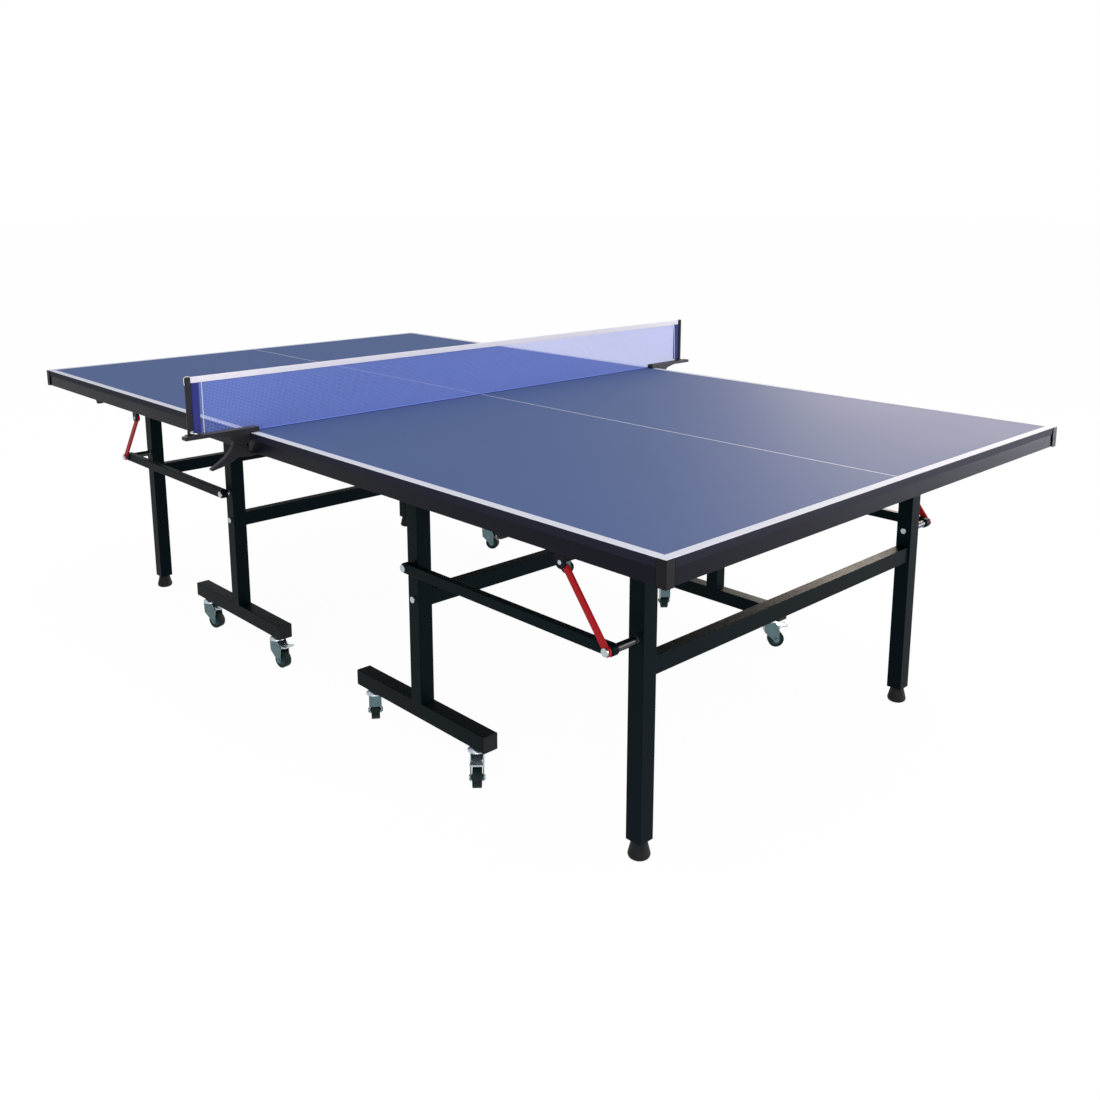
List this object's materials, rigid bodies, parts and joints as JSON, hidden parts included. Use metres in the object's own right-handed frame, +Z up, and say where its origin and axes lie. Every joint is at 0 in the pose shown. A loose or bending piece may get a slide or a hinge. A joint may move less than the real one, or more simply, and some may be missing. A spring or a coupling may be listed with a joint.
{
  "type": "ping pong table",
  "caption": "Folding ping pong table with a blue playing surface, white lines, black square-tube legs on casters and levelling feet, red braces and a clamp-on net.",
  "frame": {"origin": "on the floor, under the middle of the net line", "axes": "+X along the length towards the near half, +Y along the net, +Z up"},
  "size_m": [2.743, 1.868, 0.9125],
  "materials": {
    "panel_blue": "matt painted playing surface",
    "frame_black": "black powder coat",
    "trim_black": "moulded black plastic",
    "zinc": "bright zinc plating",
    "brace_red": "red powder coat",
    "foot_rubber": "black rubber",
    "wheel_black": "black rubber",
    "net_blue": "fine knotted mesh",
    "tape_white": "white canvas",
    "clamp_grey": "dark grey powder coat"
  },
  "bodies": {
    "near_base": {"near_wheeled_leg_left": "frame_black", "near_wheeled_leg_right": "frame_black", "near_post_bar": "frame_black", "near_base_caps": "trim_black", "near_base_bolts": "zinc"},
    "near_top": {"near_panel": "panel_blue", "near_subframe": "frame_black", "near_guards": "trim_black", "near_top_bolts": "zinc", "net_cloth": "net_blue", "net_tape": "tape_white", "net_clamp_left": "clamp_grey", "net_clamp_right": "clamp_grey"},
    "near_legs": {"near_leg_frame": "frame_black", "near_leg_bolts": "zinc"},
    "near_link_left": {"near_link_left": "frame_black"},
    "near_brace_left": {"near_brace_left": "brace_red"},
    "near_foot_left": {"near_foot_left": "foot_rubber"},
    "near_link_right": {"near_link_right": "frame_black"},
    "near_brace_right": {"near_brace_right": "brace_red"},
    "near_foot_right": {"near_foot_right": "foot_rubber"},
    "near_fork_inner_left": {"near_fork_inner_left": "zinc"},
    "near_wheel_inner_left": {"near_wheel_inner_left": "wheel_black"},
    "near_fork_outer_left": {"near_fork_outer_left": "zinc"},
    "near_wheel_outer_left": {"near_wheel_outer_left": "wheel_black"},
    "near_pedal_outer_left": {"near_pedal_outer_left": "zinc"},
    "near_fork_inner_right": {"near_fork_inner_right": "zinc"},
    "near_wheel_inner_right": {"near_wheel_inner_right": "wheel_black"},
    "near_fork_outer_right": {"near_fork_outer_right": "zinc"},
    "near_wheel_outer_right": {"near_wheel_outer_right": "wheel_black"},
    "near_pedal_outer_right": {"near_pedal_outer_right": "zinc"},
    "far_base": {"far_wheeled_leg_left": "frame_black", "far_wheeled_leg_right": "frame_black", "far_post_bar": "frame_black", "far_base_caps": "trim_black", "far_base_bolts": "zinc"},
    "far_top": {"far_panel": "panel_blue", "far_subframe": "frame_black", "far_guards": "trim_black", "far_top_bolts": "zinc"},
    "far_legs": {"far_leg_frame": "frame_black", "far_leg_bolts": "zinc"},
    "far_link_left": {"far_link_left": "frame_black"},
    "far_brace_left": {"far_brace_left": "brace_red"},
    "far_foot_left": {"far_foot_left": "foot_rubber"},
    "far_link_right": {"far_link_right": "frame_black"},
    "far_brace_right": {"far_brace_right": "brace_red"},
    "far_foot_right": {"far_foot_right": "foot_rubber"},
    "far_fork_inner_left": {"far_fork_inner_left": "zinc"},
    "far_wheel_inner_left": {"far_wheel_inner_left": "wheel_black"},
    "far_pedal_inner_left": {"far_pedal_inner_left": "zinc"},
    "far_fork_outer_left": {"far_fork_outer_left": "zinc"},
    "far_wheel_outer_left": {"far_wheel_outer_left": "wheel_black"},
    "far_pedal_outer_left": {"far_pedal_outer_left": "zinc"},
    "far_fork_inner_right": {"far_fork_inner_right": "zinc"},
    "far_wheel_inner_right": {"far_wheel_inner_right": "wheel_black"},
    "far_fork_outer_right": {"far_fork_outer_right": "zinc"},
    "far_wheel_outer_right": {"far_wheel_outer_right": "wheel_black"},
    "net_lever_left": {"net_lever_left": "clamp_grey"},
    "net_lever_right": {"net_lever_right": "clamp_grey"}
  },
  "joints": [
    {"name": "near_fold", "type": "hinge", "parent": "near_base", "child": "near_top", "pos_m": [0.45, 0, 0.685], "axis": [0, -1, 0], "range_deg": [0, 90], "deforming": ["net_cloth", "net_tape"]},
    {"name": "near_leg_fold", "type": "hinge", "parent": "near_top", "child": "near_legs", "pos_m": [1.11, 0, 0.685], "axis": [0, 1, 0], "range_deg": [0, 90]},
    {"name": "near_link_left_turn", "type": "hinge", "parent": "near_base", "child": "near_link_left", "pos_m": [0.45, -0.609, 0.48], "axis": [0, -1, 0], "range_deg": [0, 90]},
    {"name": "near_brace_left_turn", "type": "hinge", "parent": "near_legs", "child": "near_brace_left", "pos_m": [1.11, -0.623, 0.48], "axis": [0, -1, 0], "range_deg": [0, 141.3]},
    {"name": "near_foot_left_screw", "type": "slide", "parent": "near_legs", "child": "near_foot_left", "axis": [0, 0, -1], "range_m": [0, 0.012]},
    {"name": "near_link_right_turn", "type": "hinge", "parent": "near_base", "child": "near_link_right", "pos_m": [0.45, 0.609, 0.48], "axis": [0, -1, 0], "range_deg": [0, 90]},
    {"name": "near_brace_right_turn", "type": "hinge", "parent": "near_legs", "child": "near_brace_right", "pos_m": [1.11, 0.623, 0.48], "axis": [0, -1, 0], "range_deg": [0, 141.3]},
    {"name": "near_foot_right_screw", "type": "slide", "parent": "near_legs", "child": "near_foot_right", "axis": [0, 0, -1], "range_m": [0, 0.012]},
    {"name": "near_swivel_inner_left", "type": "hinge", "parent": "near_base", "child": "near_fork_inner_left", "pos_m": [0.245, -0.572, 0.08], "axis": [0, 0, 1], "continuous": true},
    {"name": "near_roll_inner_left", "type": "hinge", "parent": "near_fork_inner_left", "child": "near_wheel_inner_left", "pos_m": [0.22676, -0.5597, 0.024], "axis": [-0.5592, -0.829, 0], "continuous": true},
    {"name": "near_swivel_outer_left", "type": "hinge", "parent": "near_base", "child": "near_fork_outer_left", "pos_m": [0.655, -0.572, 0.08], "axis": [0, 0, 1], "continuous": true},
    {"name": "near_roll_outer_left", "type": "hinge", "parent": "near_fork_outer_left", "child": "near_wheel_outer_left", "pos_m": [0.67135, -0.58672, 0.024], "axis": [0.6691, 0.7431, 0], "continuous": true},
    {"name": "near_brake_outer_left", "type": "hinge", "parent": "near_fork_outer_left", "child": "near_pedal_outer_left", "pos_m": [0.65946, -0.57602, 0.07], "axis": [0.6691, 0.7431, 0], "range_deg": [0, 10]},
    {"name": "near_swivel_inner_right", "type": "hinge", "parent": "near_base", "child": "near_fork_inner_right", "pos_m": [0.245, 0.572, 0.08], "axis": [0, 0, 1], "continuous": true},
    {"name": "near_roll_inner_right", "type": "hinge", "parent": "near_fork_inner_right", "child": "near_wheel_inner_right", "pos_m": [0.22865, 0.58672, 0.024], "axis": [-0.6691, -0.7431, 0], "continuous": true},
    {"name": "near_swivel_outer_right", "type": "hinge", "parent": "near_base", "child": "near_fork_outer_right", "pos_m": [0.655, 0.572, 0.08], "axis": [0, 0, 1], "continuous": true},
    {"name": "near_roll_outer_right", "type": "hinge", "parent": "near_fork_outer_right", "child": "near_wheel_outer_right", "pos_m": [0.66972, 0.58835, 0.024], "axis": [-0.7431, 0.6691, 0], "continuous": true},
    {"name": "near_brake_outer_right", "type": "hinge", "parent": "near_fork_outer_right", "child": "near_pedal_outer_right", "pos_m": [0.65902, 0.57646, 0.07], "axis": [-0.7431, 0.6691, 0], "range_deg": [0, 10]},
    {"name": "far_roll", "type": "slide", "parent": "near_base", "child": "far_base", "axis": [-1, 0, 0], "range_m": [0, 0.5]},
    {"name": "far_fold", "type": "hinge", "parent": "far_base", "child": "far_top", "pos_m": [-0.45, 0, 0.685], "axis": [0, 1, 0], "range_deg": [0, 90]},
    {"name": "far_leg_fold", "type": "hinge", "parent": "far_top", "child": "far_legs", "pos_m": [-1.11, 0, 0.685], "axis": [0, -1, 0], "range_deg": [0, 90]},
    {"name": "far_link_left_turn", "type": "hinge", "parent": "far_base", "child": "far_link_left", "pos_m": [-0.45, -0.609, 0.48], "axis": [0, 1, 0], "range_deg": [0, 90]},
    {"name": "far_brace_left_turn", "type": "hinge", "parent": "far_legs", "child": "far_brace_left", "pos_m": [-1.11, -0.623, 0.48], "axis": [0, 1, 0], "range_deg": [0, 141.3]},
    {"name": "far_foot_left_screw", "type": "slide", "parent": "far_legs", "child": "far_foot_left", "axis": [0, 0, -1], "range_m": [0, 0.012]},
    {"name": "far_link_right_turn", "type": "hinge", "parent": "far_base", "child": "far_link_right", "pos_m": [-0.45, 0.609, 0.48], "axis": [0, 1, 0], "range_deg": [0, 90]},
    {"name": "far_brace_right_turn", "type": "hinge", "parent": "far_legs", "child": "far_brace_right", "pos_m": [-1.11, 0.623, 0.48], "axis": [0, 1, 0], "range_deg": [0, 141.3]},
    {"name": "far_foot_right_screw", "type": "slide", "parent": "far_legs", "child": "far_foot_right", "axis": [0, 0, -1], "range_m": [0, 0.012]},
    {"name": "far_swivel_inner_left", "type": "hinge", "parent": "far_base", "child": "far_fork_inner_left", "pos_m": [-0.245, -0.572, 0.08], "axis": [0, 0, 1], "continuous": true},
    {"name": "far_roll_inner_left", "type": "hinge", "parent": "far_fork_inner_left", "child": "far_wheel_inner_left", "pos_m": [-0.22321, -0.56894, 0.024], "axis": [-0.1392, 0.9903, 0], "continuous": true},
    {"name": "far_brake_inner_left", "type": "hinge", "parent": "far_fork_inner_left", "child": "far_pedal_inner_left", "pos_m": [-0.23906, -0.57117, 0.07], "axis": [-0.1392, 0.9903, 0], "range_deg": [0, 10]},
    {"name": "far_swivel_outer_left", "type": "hinge", "parent": "far_base", "child": "far_fork_outer_left", "pos_m": [-0.655, -0.572, 0.08], "axis": [0, 0, 1], "continuous": true},
    {"name": "far_roll_outer_left", "type": "hinge", "parent": "far_fork_outer_left", "child": "far_wheel_outer_left", "pos_m": [-0.63408, -0.5652, 0.024], "axis": [-0.309, 0.9511, 0], "continuous": true},
    {"name": "far_brake_outer_left", "type": "hinge", "parent": "far_fork_outer_left", "child": "far_pedal_outer_left", "pos_m": [-0.64929, -0.57015, 0.07], "axis": [-0.309, 0.9511, 0], "range_deg": [0, 10]},
    {"name": "far_swivel_inner_right", "type": "hinge", "parent": "far_base", "child": "far_fork_inner_right", "pos_m": [-0.245, 0.572, 0.08], "axis": [0, 0, 1], "continuous": true},
    {"name": "far_roll_inner_right", "type": "hinge", "parent": "far_fork_inner_right", "child": "far_wheel_inner_right", "pos_m": [-0.234, 0.59105, 0.024], "axis": [-0.866, 0.5, 0], "continuous": true},
    {"name": "far_swivel_outer_right", "type": "hinge", "parent": "far_base", "child": "far_fork_outer_right", "pos_m": [-0.655, 0.572, 0.08], "axis": [0, 0, 1], "continuous": true},
    {"name": "far_roll_outer_right", "type": "hinge", "parent": "far_fork_outer_right", "child": "far_wheel_outer_right", "pos_m": [-0.63595, 0.583, 0.024], "axis": [-0.5, 0.866, 0], "continuous": true},
    {"name": "net_lever_left_turn", "type": "hinge", "parent": "near_top", "child": "net_lever_left", "pos_m": [0.0155, -0.79, 0.742], "axis": [-1, 0, 0], "range_deg": [0, 20], "stiffness_Nm_per_rad": 2, "springref_deg": -20.05},
    {"name": "net_lever_right_turn", "type": "hinge", "parent": "near_top", "child": "net_lever_right", "pos_m": [0.0155, 0.79, 0.742], "axis": [1, 0, 0], "range_deg": [0, 20], "stiffness_Nm_per_rad": 2, "springref_deg": -20.05}
  ],
  "couplings": [
    {"joint": "near_leg_fold", "follows": "near_fold", "ratio": 1},
    {"joint": "near_link_left_turn", "follows": "near_fold", "ratio": 1},
    {"joint": "near_brace_left_turn", "follows": "near_fold", "ratio": 1.57},
    {"joint": "near_link_right_turn", "follows": "near_fold", "ratio": 1},
    {"joint": "near_brace_right_turn", "follows": "near_fold", "ratio": 1.57},
    {"joint": "far_leg_fold", "follows": "far_fold", "ratio": 1},
    {"joint": "far_link_left_turn", "follows": "far_fold", "ratio": 1},
    {"joint": "far_brace_left_turn", "follows": "far_fold", "ratio": 1.57},
    {"joint": "far_link_right_turn", "follows": "far_fold", "ratio": 1},
    {"joint": "far_brace_right_turn", "follows": "far_fold", "ratio": 1.57}
  ]
}
